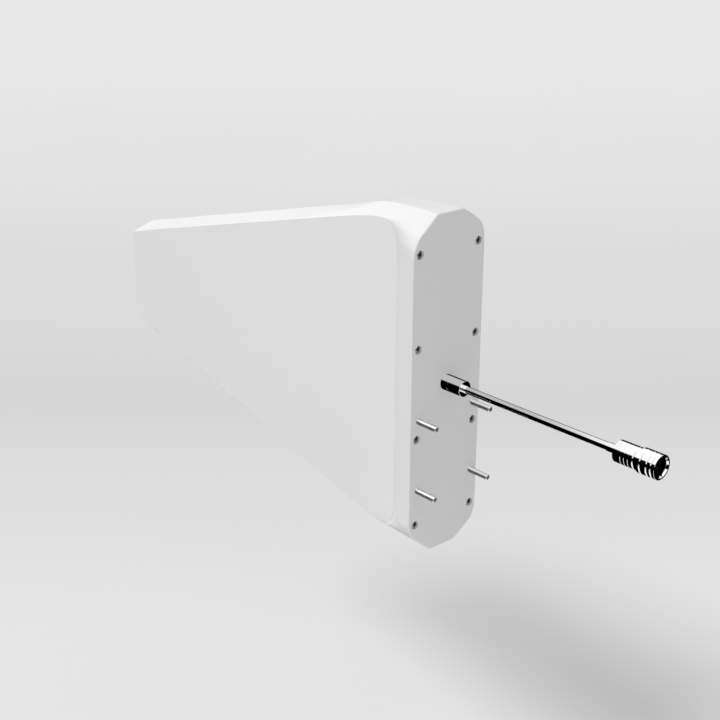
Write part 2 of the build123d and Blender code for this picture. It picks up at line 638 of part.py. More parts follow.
with BuildPart() as front_sleeve:
    with BuildSketch(across(SLEEVE_REAR_Y, z=AXIS_Z)):
        Circle(SLEEVE_DIAMETER / 2)
    extrude(amount=SLEEVE_LENGTH)
    chamfer(front_sleeve.edges().filter_by(GeomType.CIRCLE), length=CONNECTOR_EDGE)
    with BuildSketch(across(SLEEVE_REAR_Y, z=AXIS_Z)):
        Circle(SLEEVE_WAIST / 2)
    extrude(amount=SLEEVE_LENGTH, mode=Mode.SUBTRACT)
    with BuildSketch(across(SLEEVE_FRONT_Y, z=AXIS_Z)):
        Circle(SLEEVE_BORE / 2)
    extrude(amount=-SLEEVE_BORE_DEPTH, mode=Mode.SUBTRACT)
finish(front_sleeve, "connector_sleeve")

with BuildPart() as insulator:
    with BuildSketch(across(SLEEVE_REAR_Y, z=AXIS_Z)):
        Circle(SLEEVE_WAIST / 2 - FIT)
        Circle(CONTACT_DIAMETER / 2 + FIT, mode=Mode.SUBTRACT)
    extrude(amount=SLEEVE_REAR_Y - CONTACT_TIP_Y - CONTACT_STAND)
finish(insulator, "connector_insulator")

with BuildPart() as centre_contact:
    with BuildSketch(across(SLEEVE_REAR_Y, z=AXIS_Z)):
        Circle(CONTACT_DIAMETER / 2)
    extrude(amount=SLEEVE_REAR_Y - CONTACT_TIP_Y)
    with BuildSketch(across(CONTACT_TIP_Y, z=AXIS_Z)):
        Circle(CONTACT_BORE / 2)
        Rectangle(CONTACT_DIAMETER, CONTACT_SLIT)
        Rectangle(CONTACT_SLIT, CONTACT_DIAMETER)
    extrude(amount=-CONTACT_BORE_DEPTH, mode=Mode.SUBTRACT)
    with BuildSketch(across(SLEEVE_REAR_Y, z=AXIS_Z)):
        Circle(CORE_DIAMETER / 2 + FIT)
    extrude(amount=CONTACT_TAIL, mode=Mode.SUBTRACT)
finish(centre_contact, "centre_contact")
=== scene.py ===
import math

import bpy
import bmesh
from mathutils import Matrix, Vector


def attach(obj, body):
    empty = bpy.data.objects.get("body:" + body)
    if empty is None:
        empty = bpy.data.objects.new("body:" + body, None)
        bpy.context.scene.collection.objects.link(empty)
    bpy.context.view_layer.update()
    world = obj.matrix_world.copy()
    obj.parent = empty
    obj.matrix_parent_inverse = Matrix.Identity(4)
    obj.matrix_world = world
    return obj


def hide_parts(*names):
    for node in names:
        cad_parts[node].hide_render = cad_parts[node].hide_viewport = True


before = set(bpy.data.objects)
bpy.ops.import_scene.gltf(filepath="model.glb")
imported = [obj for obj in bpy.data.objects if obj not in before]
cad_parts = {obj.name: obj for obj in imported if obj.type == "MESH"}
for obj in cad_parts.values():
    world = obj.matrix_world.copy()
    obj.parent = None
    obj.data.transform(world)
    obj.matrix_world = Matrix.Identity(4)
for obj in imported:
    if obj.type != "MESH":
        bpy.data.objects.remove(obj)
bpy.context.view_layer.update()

# Directional antenna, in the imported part's frame: +Y is where it looks, +Z up, origin between the studs.
# Lengths below are in millimetres and become metres where a mesh is made.
# Heights of the radome and the plate are counted from the plate's centre, CENTRE_Z up.
MM = 0.001
FIT = 0.05
BEVEL = 0.1
ROUND_STEPS = 8

# Body
CENTRE_Z = 45.0
PLATE_HALF_WIDTH = 33.3
PLATE_HALF_HEIGHT = 122.2
PLATE_SIDE_DROP = 25.6
PLATE_THICKNESS = 5.0
PLATE_ROUND = 1.2
FLARE_Y = 28.0
PANEL_X = 20.9
RIDGE_X = 1.5
NOSE_Y = 357.5
NOSE_ROUND = 4.0
WALL = 3.0

# The side panel's edge (y, height) and, matched to it, the rim's outer edge (x, y, height): down the plate's
# side, round its cut corner, then along the edge of the flat top to the ridge and the nose.
EDGES = [
    ((FLARE_Y, 0), (PLATE_HALF_WIDTH, 0, 0)), ((FLARE_Y, 84), (PLATE_HALF_WIDTH, 0, 86)),
    ((FLARE_Y, 91), (PLATE_HALF_WIDTH, 0, 94.5)), ((28.4, 97), (32.6, 0, 99.5)),
    ((29.8, 103.5), (30.6, 0, 104.3)), ((32.5, 108.5), (27.9, 0, 108.5)), ((36.5, 111.6), (22.5, 0, 113.0)),
    ((42, 112.7), (16.5, 0, 118.0)), ((48, 112.5), (11.5, 0, PLATE_HALF_HEIGHT)),
    ((58, 111.1), (10.5, 15, 122.05)), ((70, 108.6), (9.2, 32, 121.5)), ((82, 105.75), (7.4, 50, 119.9)),
    ((92, 103.26), (5.2, 66, 116.9)), ((102, 100.78), (1.6, 78, 113.5)),
    ((120, 96.3), (RIDGE_X, 105, 106.43)), ((150, 88.85), (RIDGE_X, 142, 97.24)),
    ((200, 76.43), (RIDGE_X, 197, 83.57)),
    ((NOSE_Y - NOSE_ROUND, 38.3), (RIDGE_X, NOSE_Y - NOSE_ROUND, 44.7)),
]
CORNER_EDGE = 8
ROW_STEPS = 5
RIM_STEPS = 8

# The rim bulges round the panel's upper corner, and round the plate's cut corner on the far side.
SWELL = 0.9
SWELL_Z = 100.0
SWELL_REACH = 11.0
FAR_BULGE = 2.3
FAR_BULGE_WAY = (0.64, 0.77)
FAR_BULGE_END_Y = 30.0

# Groove round each side panel, and the softer crease that takes its place along the panel's lower edge
GROOVE_WIDTH = 0.6
GROOVE_DEPTH = 1.0
CREASE_START_Y = 31.0
CREASE_DROP = 1.3
CREASE_FLOOR_INSET = 0.15
CREASE_FLOOR_SHARE = 0.3
CREASE_LIP = (0.35, 0, 0.1)

# Hollow of the radome: where its outline is taken, and how far it keeps from the outer edges past the wall
HOLLOW_PLACES = [2, 8, 14, 20, 26, 31, 36, 42, 50, 60, 70, 85, 110, 160, 250, NOSE_Y - WALL - NOSE_ROUND / 2]
HOLLOW_FLARE_TOP = 94.0
HOLLOW_TOP = 112.0
HOLLOW_BEND = 3.0
HOLLOW_ROOF_GAP = 0.5
HOLLOW_EAVES_GAP = 1.0
HOLLOW_TOP_INSET = 2.0
HOLLOW_RIDGE_X = 0.75

# Cover screws, with a low dome of (y, radius) for a head, sunk in recesses of the plate
SCREWS = [(x, CENTRE_Z + z) for x in (-27, 27) for z in (-97.5, -32.5, 32.5, 97.5)]
SCREW_DOME = [(0.9, 0), (0.9, 0.9), (1.0, 1.5), (1.35, 2.1), (1.9, 2.55), (2.6, 2.8)]
SCREW_HEAD_RADIUS = 2.8
SCREW_RADIUS = 1.5
SCREW_TAPER_Y = 7.4
SCREW_TIP_Y = 9.0
SCREW_TIP_RADIUS = 0.6
SCREW_HOLE_RADIUS = 1.7
RECESS_RADIUS = 3.1
RECESS_DEPTH = 3.0

# Mounting studs, whose thicker shanks end just under the plate's outer face
STUDS = [(x, z) for x in (-26, 26) for z in (-26, 26)]
STUD_RADIUS = 2.0
STUD_LENGTH = 18.0
STUD_TIP_CHAMFER = 0.4
SHANK_RADIUS = 2.5
SHANK_COVER = 0.3
STUD_HEAD_RADIUS = 3.5
STUD_HEAD_THICKNESS = 1.6

# Lead: a stiff line along one axis, thicker between the gland and the connector, as the photo shows it
AXIS_Z = 48.0
AXIS = [(0, AXIS_Z)]
LINE_FRONT_Y = 342.0
LINE_RADIUS = 2.15
LINE_BORE_RADIUS = 1.5
LEAD_RADIUS = 2.5
LEAD_START_Y = -15.6
LEAD_END_Y = -150.3

# Gland
GLAND_RADIUS = 5.6
GLAND_SEAT_DEPTH = 0.5
GLAND_STEM_RADIUS = 3.5
GLAND_STEM_END_Y = 8.0
GLAND_BODY_Y = -6.0
GLAND_NUT_RADIUS = 5.57
GLAND_NUT_Y = -17.5
GLAND_NUT_BEVEL = 0.12
GLAND_NUT_SEAT_Y = -15.5
GLAND_SLEEVE_RADIUS = 4.4

# Connector, from its back to its front at the lead's end: places along Y of its parts and of the notches cut
# round them, and the radii. BORE_SHADE_EDGE_Y is where painted shade starts to darken its bore.
NUT_BACK_Y = -146.4
NUT_RADIUS = 7.1
NUT_STEP_Y = -160.0
NUT_LINES = [-152.4, -155.2, -158.0]
NUT_LINE_DEPTH = 0.25
NUT_NOTCHES = [-161.8]
FERRULE_SEAT_Y = -150.4
FERRULE_SEAT_RADIUS = 2.95
JOINT_Y = -163.9
SLEEVE_FRONT_Y = -177.4
SLEEVE_RADIUS = 7.95
SLEEVE_NOTCHES = [-167.4, -172.2, -175.3]
SLEEVE_WAIST_RADIUS = 5.0
NOTCH_DEPTH = 0.9
NOTCH_SLOPE = 1.15
NOTCH_WALL = 0.1
BORE_RADIUS = 6.2
SLEEVE_LIP = [(SLEEVE_FRONT_Y, SLEEVE_RADIUS - BEVEL), (SLEEVE_FRONT_Y, 6.75), (-176.1, 6.25),
              (-176.05, 6.5), (-174.9, BORE_RADIUS)]
BORE_FLOOR_Y = -171.1
BORE_RING_RADIUS = 3.2
BORE_RING_THICKNESS = 0.2
# Painted shade: inside this radius, deep in the bore, the colour is darkened
BORE_SHADE_RADIUS = 6.6
BORE_SHADE_EDGE_Y = (-175.4, -174.8)


def smooth_curve(points, at):
    """Value at a place on a smooth curve through points of (place, value) that never overshoots them."""
    if at <= points[0][0]:
        return points[0][1]
    if at >= points[-1][0]:
        return points[-1][1]
    slopes = [(b[1] - a[1]) / (b[0] - a[0]) for a, b in zip(points, points[1:])]
    tangents = [slopes[0]]
    for before, after in zip(slopes, slopes[1:]):
        flat = before * after <= 0
        tangents.append(0.0 if flat else 2 * before * after / (before + after))
    tangents.append(slopes[-1])
    index = next(i for i, point in enumerate(points[1:]) if at <= point[0])
    a, b = points[index], points[index + 1]
    h = b[0] - a[0]
    t = (at - a[0]) / h
    return ((2 * t**3 - 3 * t**2 + 1) * a[1] + (t**3 - 2 * t**2 + t) * h * tangents[index]
            + (3 * t**2 - 2 * t**3) * b[1] + (t**3 - t**2) * h * tangents[index + 1])


def line_at(points, place):
    """Value at a place on straight lines through points of (place, value)."""
    for (start, first), (end, last) in zip(points, points[1:]):
        if start <= place <= end and end > start:
            found = first + (last - first) * (place - start) / (end - start)
    return found


def matched_edges():
    """Closely spaced rows from EDGES: the panel edge's y and height, the outer edge's x, y and height."""
    lengths = [0.0]
    for (panel0, outer0), (panel1, outer1) in zip(EDGES, EDGES[1:]):
        lengths.append(lengths[-1] + (math.dist(panel0, panel1) + math.dist(outer0, outer1)) / 2)
    curves = [list(zip(lengths, column)) for column in zip(*(panel + outer for panel, outer in EDGES))]
    made = []
    for start, end in zip(lengths, lengths[1:]):
        for step in range(ROW_STEPS):
            at = start + (end - start) * step / ROW_STEPS
            made.append([smooth_curve(curve, at) for curve in curves])
    made.append([curve[-1][1] for curve in curves])
    return made


ROWS = matched_edges()
TOP_ROWS = ROWS[CORNER_EDGE * ROW_STEPS:]


def ruling(row, share, side):
    """Point a share of the way from the panel's edge to the rim's outer edge. side is 1 on the far side."""
    panel_y, panel_z, outer_x, outer_y, outer_z = row
    if side > 0:
        corner_z = PLATE_HALF_HEIGHT - PLATE_SIDE_DROP
        along = min(max((outer_z - corner_z) / PLATE_SIDE_DROP, 0.0), 1.0)
        bulge = FAR_BULGE * 4 * along * (1 - along) * max(0.0, 1 - outer_y / FAR_BULGE_END_Y)
        outer_x += FAR_BULGE_WAY[0] * bulge
        outer_z += FAR_BULGE_WAY[1] * bulge
    near_corner = max(0.0, 1 - abs(panel_z - SWELL_Z) / SWELL_REACH)
    swell = SWELL * near_corner * 4 * share * (1 - share)
    return Vector((PANEL_X + (outer_x - PANEL_X) * share + swell, panel_y + (outer_y - panel_y) * share,
                   panel_z + (outer_z - panel_z) * share + swell))


def share_at(row, y):
    """Share of the way along a ruling at which it reaches y, or 1 if it ends before."""
    panel_y, outer_y = row[0], row[3]
    return 1.0 if outer_y >= y else (panel_y - y) / (panel_y - outer_y)


def drawn_in(points, shrink):
    """Closed loop of (x, height) points drawn in by shrink."""
    count = len(points)
    made = []
    for i, (x, z) in enumerate(points):
        before, after = points[i - 1], points[(i + 1) % count]
        e0 = Vector((x - before[0], z - before[1])).normalized()
        e1 = Vector((after[0] - x, after[1] - z)).normalized()
        inward = Vector((-(e0.y + e1.y), e0.x + e1.x))
        inward /= max(inward.length, 1e-9)
        reach = shrink / max(inward.dot(Vector((-e0.y, e0.x))), 0.5)
        made.append((x + inward.x * reach, z + inward.y * reach))
    return made


def as_object(name, mesh):
    """Object in the scene from a bmesh."""
    data = bpy.data.meshes.new(name)
    mesh.to_mesh(data)
    mesh.free()
    made = bpy.data.objects.new(name, data)
    bpy.context.scene.collection.objects.link(made)
    return made


def loops_mesh(name, rows):
    """Object skinned over rows of (y, loop), closed at both ends."""
    mesh = bmesh.new()
    rings = [[mesh.verts.new((x * MM, y * MM, (z + CENTRE_Z) * MM)) for x, z in loop] for y, loop in rows]
    count = len(rings[0])
    for lower, upper in zip(rings, rings[1:]):
        for i in range(count):
            j = (i + 1) % count
            mesh.faces.new((lower[i], lower[j], upper[j], upper[i]))
    mesh.faces.new(rings[0])
    mesh.faces.new(list(reversed(rings[-1])))
    bmesh.ops.recalc_face_normals(mesh, faces=mesh.faces)
    return as_object(name, mesh)


def lathe(name, centres, profile, segments):
    """Profile of (y, radius) turned about lines along Y through each centre (x, z).

    A profile that doesn't start on the axis is closed from its last point to its first.
    """
    mesh = bmesh.new()
    for cx, cz in centres:
        rings = []
        for y, radius in profile:
            if radius == 0:
                rings.append([mesh.verts.new((cx * MM, y * MM, cz * MM))])
                continue
            circle = []
            for k in range(segments):
                a = 2 * math.pi * (k + 0.5) / segments
                circle.append(mesh.verts.new(((cx + radius * math.sin(a)) * MM, y * MM,
                                              (cz + radius * math.cos(a)) * MM)))
            rings.append(circle)
        pairs = list(zip(rings, rings[1:]))
        if len(rings[0]) > 1:
            pairs.append((rings[-1], rings[0]))
        for a, b in pairs:
            for k in range(segments):
                j = (k + 1) % segments
                if len(a) == 1:
                    mesh.faces.new((a[0], b[k], b[j]))
                elif len(b) == 1:
                    mesh.faces.new((a[k], a[j], b[0]))
                else:
                    mesh.faces.new((a[k], a[j], b[j], b[k]))
    bmesh.ops.recalc_face_normals(mesh, faces=mesh.faces)
    return as_object(name, mesh)


def joined(name, objects):
    """One object from several, which are used up."""
    mesh = bmesh.new()
    for each in objects:
        mesh.from_mesh(each.data)
        bpy.data.objects.remove(each)
    return as_object(name, mesh)


def cut(target, cutter):
    """Takes the cutter out of the target. The cutter is used up."""
    modifier = target.modifiers.new("cut", "BOOLEAN")
    modifier.object = cutter
    modifier.operation = "DIFFERENCE"
    modifier.solver = "EXACT"
    graph = bpy.context.evaluated_depsgraph_get()
    data = bpy.data.meshes.new_from_object(target.evaluated_get(graph))
    target.modifiers.clear()
    target.data = data
    bpy.data.objects.remove(cutter)


def shade(made, angle):
    """Smooth shading that keeps edges over the angle sharp."""
    made.data.shade_smooth()
    made.data.set_sharp_from_angle(angle=math.radians(angle))
    made.data.update()


def new_node(tree, kind, **settings):
    """Shader node of a kind, with its settings."""
    node = tree.nodes.new("ShaderNode" + kind)
    for name, value in settings.items():
        setattr(node, name, value)
    return node


def feed(tree, socket, value):
    """Gives a socket another node's output or a plain value."""
    if isinstance(value, bpy.types.NodeSocket):
        tree.links.new(value, socket)
    else:
        socket.default_value = value


def maths(tree, operation, first, second):
    """Output of a Math node on two outputs or values."""
    node = new_node(tree, "Math", operation=operation)
    feed(tree, node.inputs[0], first)
    feed(tree, node.inputs[1], second)
    return node.outputs["Value"]


def product(tree, *factors):
    """Output of the factors multiplied."""
    result = factors[0]
    for factor in factors[1:]:
        result = maths(tree, "MULTIPLY", result, factor)
    return result


def ranged(tree, value, low, high, to_low=0.0, to_high=1.0, curve="LINEAR"):
    """Output of a value from low to high brought to the range from to_low to to_high."""
    node = new_node(tree, "MapRange", interpolation_type=curve)
    for socket, limit in (("From Min", low), ("From Max", high), ("To Min", to_low), ("To Max", to_high)):
        node.inputs[socket].default_value = limit
    tree.links.new(value, node.inputs["Value"])
    return node.outputs["Result"]


def noise(tree, place, scale, detail):
    """Output of a noise texture."""
    node = new_node(tree, "TexNoise")
    node.inputs["Scale"].default_value = scale
    node.inputs["Detail"].default_value = detail
    tree.links.new(place, node.inputs["Vector"])
    return node.outputs["Fac"]


def material(name, colour, metallic=0.0, rough=0.4, tone=0.03, grain=0.05, relief=0.00002, scale=900.0,
             stretch=(1, 1, 1), cloud=14.0):
    """Procedural finish: cloudy tone, uneven roughness and a fine relief at real scale.

    relief is in metres, and scale and cloud are counts to the metre, as the nodes take them.
    """
    made = bpy.data.materials.new(name)
    made.use_nodes = True
    tree = made.node_tree
    shader = tree.nodes["Principled BSDF"]
    shader.inputs["Metallic"].default_value = metallic
    turn = new_node(tree, "Mapping")
    turn.inputs["Scale"].default_value = stretch
    tree.links.new(new_node(tree, "TexCoord").outputs["Object"], turn.inputs["Vector"])
    place = turn.outputs["Vector"]

    ramp = new_node(tree, "ValToRGB")
    darker, lighter = ramp.color_ramp.elements
    darker.position = 0.3
    lighter.position = 0.7
    darker.color = [c * (1 - tone) for c in colour] + [1]
    lighter.color = [min(c * (1 + tone), 1) for c in colour] + [1]
    tree.links.new(noise(tree, place, cloud, 3), ramp.inputs["Fac"])
    tree.links.new(ramp.outputs["Color"], shader.inputs["Base Color"])

    uneven = ranged(tree, noise(tree, place, scale * 0.15, 2), 0, 1, rough - grain, rough + grain)
    tree.links.new(uneven, shader.inputs["Roughness"])

    bump = new_node(tree, "Bump")
    bump.inputs["Strength"].default_value = 1.0
    bump.inputs["Distance"].default_value = relief
    tree.links.new(noise(tree, place, scale, 2), bump.inputs["Height"])
    tree.links.new(bump.outputs["Normal"], shader.inputs["Normal"])
    return made


def with_painted_bore_shade(finish):
    """Copy of a finish with painted shade: its colour turns dark inside the connector's bore."""
    made = finish.copy()
    made.name = finish.name + " with painted bore shade"
    tree = made.node_tree
    colour = tree.nodes["Principled BSDF"].inputs["Base Color"]
    place = new_node(tree, "TexCoord").outputs["Object"]

    from_axis = new_node(tree, "VectorMath", operation="MULTIPLY_ADD")
    from_axis.inputs[1].default_value = (1, 0, 1)
    from_axis.inputs[2].default_value = (0, 0, -AXIS_Z * MM)
    tree.links.new(place, from_axis.inputs[0])
    distance = new_node(tree, "VectorMath", operation="LENGTH")
    tree.links.new(from_axis.outputs["Vector"], distance.inputs[0])
    inside = maths(tree, "LESS_THAN", distance.outputs["Value"], BORE_SHADE_RADIUS * MM)

    parts = new_node(tree, "SeparateXYZ")
    tree.links.new(place, parts.inputs["Vector"])
    deep = ranged(tree, parts.outputs["Y"], BORE_SHADE_EDGE_Y[0] * MM, BORE_SHADE_EDGE_Y[1] * MM)

    # Painted shade: the base colour is mixed to near black deep in the bore
    bore_shade = new_node(tree, "Mix", data_type="RGBA")
    tree.links.new(product(tree, inside, deep), bore_shade.inputs["Factor"])
    tree.links.new(colour.links[0].from_socket, bore_shade.inputs["A"])
    bore_shade.inputs["B"].default_value = (0.05, 0.05, 0.05, 1)
    tree.links.new(bore_shade.outputs["Result"], colour)
    return made


# Finishes
shell_white = material("shell white", (0.86, 0.86, 0.86), rough=0.45, tone=0.006, grain=0.04,
                       relief=0.000004, scale=700, cloud=9)
plate_white = material("plate white", (0.84, 0.84, 0.84), rough=0.5, tone=0.006, grain=0.04,
                       relief=0.000004, scale=700, cloud=9)
rubber = material("black rubber", (0.03, 0.03, 0.03), rough=0.7, tone=0.2)
screw_steel = material("dark screw", (0.32, 0.32, 0.33), 1.0, rough=0.3, tone=0.1, relief=0.000006,
                       scale=1500)
stainless = material("stainless", (0.80, 0.80, 0.79), 1.0, rough=0.12, grain=0.03, relief=0.000002,
                     scale=1500)
stud_steel = material("stud steel", (0.9, 0.9, 0.89), 1.0, rough=0.36, tone=0.02, grain=0.03,
                      relief=0.000002, scale=1500)
chrome = material("chrome", (0.92, 0.92, 0.93), 1.0, rough=0.05, tone=0.01, grain=0.02,
                  relief=0.0000005, scale=800)
# Chrome with painted shade darkening the connector's bore
chrome_with_bore_shade = with_painted_bore_shade(chrome)
aluminium = material("aluminium", (0.80, 0.81, 0.82), 1.0, rough=0.32, tone=0.04, relief=0.000004,
                     stretch=(1, 0.05, 1), scale=2500)
rods = material("drawn aluminium", (0.80, 0.81, 0.82), 1.0, rough=0.3, tone=0.04, relief=0.000004,
                stretch=(1, 1, 0.05), scale=2500)
brass = material("brass", (0.80, 0.62, 0.30), 1.0, rough=0.28, tone=0.06, relief=0.000004, scale=1500)
nylon = material("nylon", (0.82, 0.81, 0.77), rough=0.5, relief=0.00001)
fluoro = material("fluoropolymer", (0.92, 0.92, 0.91), rough=0.45, tone=0.02, relief=0.000006)

# Solids whose shape is right keep it and get a finish. The inner ones stay out of the chrome's reflections.
NODE_FINISHES = {
    "perimeter_seal": rubber, "gland_sleeve": rubber, "boom_bracket": aluminium,
    "bracket_screws": stainless, "feed_boom": aluminium, "return_boom": aluminium, "boom_spacers": nylon,
    "front_support": nylon, "feed_plug": brass, "return_plug": brass, "feed_insulator": fluoro,
    "feed_strap": brass, "strap_screw": stainless, "feed_line_dielectric": fluoro, "feed_line_core": brass,
    "connector_insulator": fluoro, "centre_contact": brass, "crimp_ferrule": chrome,
}
REFLECTED = ("crimp_ferrule", "centre_contact", "connector_insulator")
NODE_ANGLE = 32
for name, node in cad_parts.items():
    finish = rods if name.startswith("dipole_") else NODE_FINISHES.get(name)
    if finish is not None:
        node.data.materials.clear()
        node.data.materials.append(finish)
        shade(node, NODE_ANGLE)
        node.visible_glossy = name in REFLECTED


def piece(made, node, look, angle=28):
    """Stands for a CAD node and finish."""
    made.data.materials.clear()
    made.data.materials.append(look)
    shade(made, angle)
    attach(made, "root")
    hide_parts(node)


def panel_line(row, side, end):
    """Points from the panel's edge across the groove to the rim's outer edge or the plate's inner face.

    side is 1 on the far side, and end is 1 on the upper half.
    """
    groove = GROOVE_WIDTH / (ruling(row, 1, side) - ruling(row, 0, side)).length
    at_nose = row is ROWS[-1]
    edge, floor, lip = (ruling(row, share, side) for share in (0, groove / 2, groove))
    if not at_nose:
        floor -= Vector((GROOVE_DEPTH, 0, 0))
        if end < 0 and row[0] > CREASE_START_Y:
            floor = edge - Vector((CREASE_FLOOR_INSET, 0, CREASE_FLOOR_SHARE * CREASE_DROP))
            edge -= Vector((0, 0, CREASE_DROP))
            lip -= Vector(CREASE_LIP)
    rest = share_at(row, PLATE_THICKNESS) - groove
    rim = [ruling(row, groove + rest * k / RIM_STEPS, side) for k in range(1, RIM_STEPS + 1)]
    return [(side * point.x, point.y, end * point.z) for point in [edge, floor, lip] + rim]


def nose_loops():
    """Rows of (y, loop) that carry the last rows' outline round into the front face."""
    panel_z, outer_x, outer_z = ROWS[-1][1], ROWS[-1][2], ROWS[-1][4]
    corners = [(-PANEL_X, panel_z), (-outer_x, outer_z), (outer_x, outer_z), (PANEL_X, panel_z),
               (PANEL_X, -panel_z), (outer_x, -outer_z), (-outer_x, -outer_z), (-PANEL_X, -panel_z)]
    groove = GROOVE_WIDTH / math.hypot(PANEL_X - outer_x, outer_z - panel_z)
    outward = [0, groove / 2, groove]
    outward += [groove + (1 - groove) * k / RIM_STEPS for k in range(1, RIM_STEPS + 1)]
    inward = [1 - share for share in outward[::-1]]
    made = []
    for step in range(1, ROUND_STEPS + 1):
        a = math.radians(90 * step / ROUND_STEPS)
        inset = drawn_in(corners, -NOSE_ROUND * (1 - math.cos(a)))
        loop = []
        for first, shares in ((0, outward), (2, inward), (4, outward), (6, inward)):
            (x0, z0), (x1, z1) = inset[first], inset[first + 1]
            loop += [(x0 + (x1 - x0) * t, z0 + (z1 - z0) * t) for t in shares]
        made.append((NOSE_Y - NOSE_ROUND * (1 - math.sin(a)), loop))
    return made


def shell_mesh():
    """Outer skin of the radome from the plate forward, closed at the back for cutting."""
    mesh = bmesh.new()
    known = {}

    def vert(x, y, z):
        key = (round(x, 4), round(y, 4), round(z, 4))
        if key not in known:
            known[key] = mesh.verts.new((x * MM, y * MM, (z + CENTRE_Z) * MM))
        return known[key]

    def face(*corners):
        unique = list(dict.fromkeys(corners))
        if len(unique) > 2 and mesh.faces.get(unique) is None:
            mesh.faces.new(unique)

    grids = {}
    for side in (-1, 1):
        for end in (-1, 1):
            grid = [[vert(*point) for point in panel_line(row, side, end)] for row in ROWS]
            for lower, upper in zip(grid, grid[1:]):
                for i in range(len(lower) - 1):
                    face(lower[i], lower[i + 1], upper[i + 1], upper[i])
            grids[side, end] = grid

    # side panels
    for side in (-1, 1):
        lower = [line[0] for line in grids[side, -1]]
        upper = [line[0] for line in grids[side, 1]]
        face(*lower[::-1], *upper[1:])

    # flat top, ridge, and their like below
    first = next(i for i, row in enumerate(ROWS) if row[3] >= PLATE_THICKNESS)
    for end in (-1, 1):
        near = [line[-1] for line in grids[-1, end]]
        far = [line[-1] for line in grids[1, end]]
        for i in range(first - 1, len(ROWS) - 1):
            face(near[i], near[i + 1], far[i + 1], far[i])

    # nose
    before = grids[-1, 1][-1] + grids[1, 1][-1][::-1] + grids[1, -1][-1] + grids[-1, -1][-1][::-1]
    for y, loop in nose_loops():
        now = [mesh.verts.new((x * MM, y * MM, (z + CENTRE_Z) * MM)) for x, z in loop]
        for i in range(len(now)):
            j = (i + 1) % len(now)
            face(before[i], before[j], now[j], now[i])
        before = now
    face(*before)

    # back
    back = []
    for side, end, step in ((-1, 1, 1), (1, 1, -1), (1, -1, 1), (-1, -1, -1)):
        rim = [line[-1] for line in grids[side, end] if line[-1].co.y < (PLATE_THICKNESS + 0.001) * MM]
        back += [corner for corner in rim[::step] if corner not in back]
    face(*back)
    bmesh.ops.recalc_face_normals(mesh, faces=mesh.faces)
    return as_object("radome_skin", mesh)


def inner_loop(y):
    """Outline of the body's hollow at y, a wall's thickness inside the outer one."""
    width = PANEL_X
    if y < FLARE_Y:
        width += (PLATE_HALF_WIDTH - PANEL_X) * (FLARE_Y - y) / FLARE_Y
        side = HOLLOW_FLARE_TOP
    elif y <= FLARE_Y + HOLLOW_BEND:
        side = max(row[1] for row in ROWS if abs(row[0] - y) < HOLLOW_BEND)
    else:
        side = min(line_at([(row[0], row[1]) for row in ROWS], y), HOLLOW_TOP)
    top_x = line_at([(row[3], row[2]) for row in TOP_ROWS], y)
    top_z = line_at([(row[3], row[4]) for row in TOP_ROWS], y)
    width -= WALL
    roof = top_z - WALL - HOLLOW_ROOF_GAP
    eaves = side - WALL - HOLLOW_EAVES_GAP
    roof_x = max(top_x - HOLLOW_TOP_INSET, HOLLOW_RIDGE_X)
    return [(width, -eaves), (width, 0), (width, eaves), (roof_x, roof), (-roof_x, roof), (-width, eaves),
            (-width, 0), (-width, -eaves), (-roof_x, -roof), (roof_x, -roof)]


# Radome shell
shell = shell_mesh()
cut(shell, loops_mesh("hollow", [(y, inner_loop(y)) for y in HOLLOW_PLACES]))
piece(shell, "radome_shell", shell_white, 12)
shell.visible_glossy = False


def plate_outline(y):
    """Plate's outline at y as (x, height), up from the middle of its far side and round."""
    quarters = {}
    for side in (-1, 1):
        points = [ruling(row, share_at(row, y), side) for row in ROWS if row[3] < PLATE_THICKNESS]
        made = [(side * point.x, point.z) for point in points]
        quarters[side] = [q for i, q in enumerate(made) if i == 0 or math.dist(q, made[i - 1]) > 0.05]
    far, near = quarters[1], quarters[-1]
    return far + near[:0:-1] + [(x, -z) for x, z in near] + [(x, -z) for x, z in far[:0:-1]]


def plate_mesh():
    """Back plate with its outer edge rounded."""
    inner, outer = plate_outline(PLATE_THICKNESS), plate_outline(0.0)
    rows = [(PLATE_THICKNESS, inner)]
    for step in range(ROUND_STEPS + 1):
        a = math.radians(90 * step / ROUND_STEPS)
        y = PLATE_ROUND * (1 - math.sin(a))
        grow = (PLATE_THICKNESS - y) / PLATE_THICKNESS
        rounded = drawn_in(inner, PLATE_ROUND * (1 - math.cos(a)))
        rows.append((y, [(r[0] + (b[0] - a[0]) * grow, r[1] + (b[1] - a[1]) * grow)
                         for r, a, b in zip(rounded, inner, outer)]))
    return loops_mesh("plate_skin", rows)


# Back plate, with its screw recesses, stud seats and gland hole
CUT_FROM_Y = -1
CUT_TO_Y = PLATE_THICKNESS + 1
stud_head_y = PLATE_THICKNESS - STUD_HEAD_THICKNESS
plate = plate_mesh()
cut(plate, joined("cutters", [
    lathe("recesses", SCREWS, [
        (CUT_FROM_Y, 0), (CUT_FROM_Y, RECESS_RADIUS), (RECESS_DEPTH, RECESS_RADIUS),
        (RECESS_DEPTH, SCREW_HOLE_RADIUS), (CUT_TO_Y, SCREW_HOLE_RADIUS), (CUT_TO_Y, 0)], 40),
    lathe("seats", STUDS, [
        (CUT_FROM_Y, 0), (CUT_FROM_Y, STUD_RADIUS), (SHANK_COVER, STUD_RADIUS), (SHANK_COVER, SHANK_RADIUS),
        (stud_head_y, SHANK_RADIUS), (stud_head_y, STUD_HEAD_RADIUS), (CUT_TO_Y, STUD_HEAD_RADIUS),
        (CUT_TO_Y, 0)], 40),
    lathe("gland_hole", AXIS, [
        (CUT_FROM_Y, 0), (CUT_FROM_Y, GLAND_RADIUS + FIT), (GLAND_SEAT_DEPTH, GLAND_RADIUS + FIT),
        (GLAND_SEAT_DEPTH, GLAND_STEM_RADIUS + FIT), (CUT_TO_Y, GLAND_STEM_RADIUS + FIT), (CUT_TO_Y, 0)],
          48),
]))
piece(plate, "back_plate", plate_white, 14)
plate.visible_glossy = False

